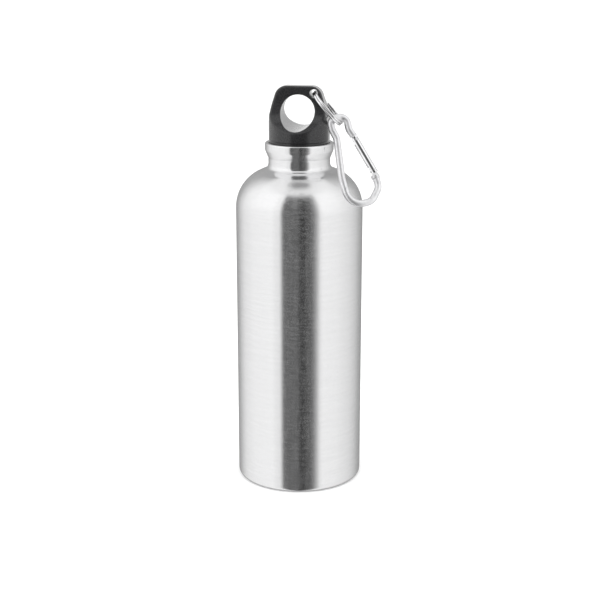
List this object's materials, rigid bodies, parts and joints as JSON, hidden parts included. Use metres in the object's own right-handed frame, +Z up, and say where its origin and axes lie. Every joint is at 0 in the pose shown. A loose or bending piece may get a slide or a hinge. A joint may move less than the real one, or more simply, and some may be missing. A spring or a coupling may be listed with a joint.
{
  "type": "canteen",
  "caption": "Single-wall brushed steel canteen with a black screw cap, carrying loop, split ring and snap carabiner.",
  "frame": {"origin": "centre of the flat base, on the bottle's axis", "axes": "+Z up along the bottle's axis, -Y is the front, +X is the side that the carabiner hangs on"},
  "size_m": [0.0848, 0.075, 0.238],
  "materials": {
    "bottle_steel": "brushed around the axis, satin",
    "base_steel": "pressed sheet, dull satin",
    "insert_plastic": "natural grey moulded plastic",
    "seal_rubber": "soft black rubber",
    "cap_plastic": "glossy black moulded plastic",
    "ring_chrome": "bright nickel plate",
    "carabiner_aluminium": "tumbled satin aluminium",
    "gate_aluminium": "turned, semi-bright",
    "rivet_steel": "bright steel"
  },
  "bodies": {
    "bottle": {"bottle_shell": "bottle_steel", "base_disc": "base_steel", "neck_insert": "insert_plastic"},
    "seal": {"seal_ring": "seal_rubber"},
    "cap": {"cap_loop": "cap_plastic", "cap_plug": "cap_plastic"},
    "ring": {"split_ring": "ring_chrome"},
    "carabiner": {"carabiner_frame": "carabiner_aluminium", "gate_rivet": "rivet_steel"},
    "gate": {"gate_arm": "gate_aluminium", "latch_pin": "rivet_steel", "gate_plunger": "rivet_steel", "gate_spring": "rivet_steel"}
  },
  "joints": [
    {"name": "cap_lift", "type": "slide", "parent": "bottle", "child": "seal", "axis": [0, 0, 1], "range_m": [0, 0.01463]},
    {"name": "cap_turn", "type": "hinge", "parent": "seal", "child": "cap", "pos_m": [0, 0, 0.2042], "axis": [0, 0, 1], "range_deg": [0, 1170.01]},
    {"name": "ring_swing", "type": "hinge", "parent": "cap", "child": "ring", "pos_m": [0.00896, -0.00158, 0.2338], "axis": [-0.1736, -0.9848, 0], "range_deg": [0, 95]},
    {"name": "carabiner_swing", "type": "hinge", "parent": "ring", "child": "carabiner", "pos_m": [0.02229, -0.00988, 0.21795], "axis": [0, -1, 0], "range_deg": [0, 40]},
    {"name": "gate_open", "type": "hinge", "parent": "carabiner", "child": "gate", "pos_m": [0.03236, -0.0105, 0.20784], "axis": [-0.2639, 0.8554, -0.4457], "range_deg": [0, 30], "stiffness_Nm_per_rad": 0.02, "springref_deg": -20.05}
  ],
  "couplings": [
    {"joint": "cap_turn", "follows": "cap_lift", "rad_per_m": 1396.3}
  ]
}
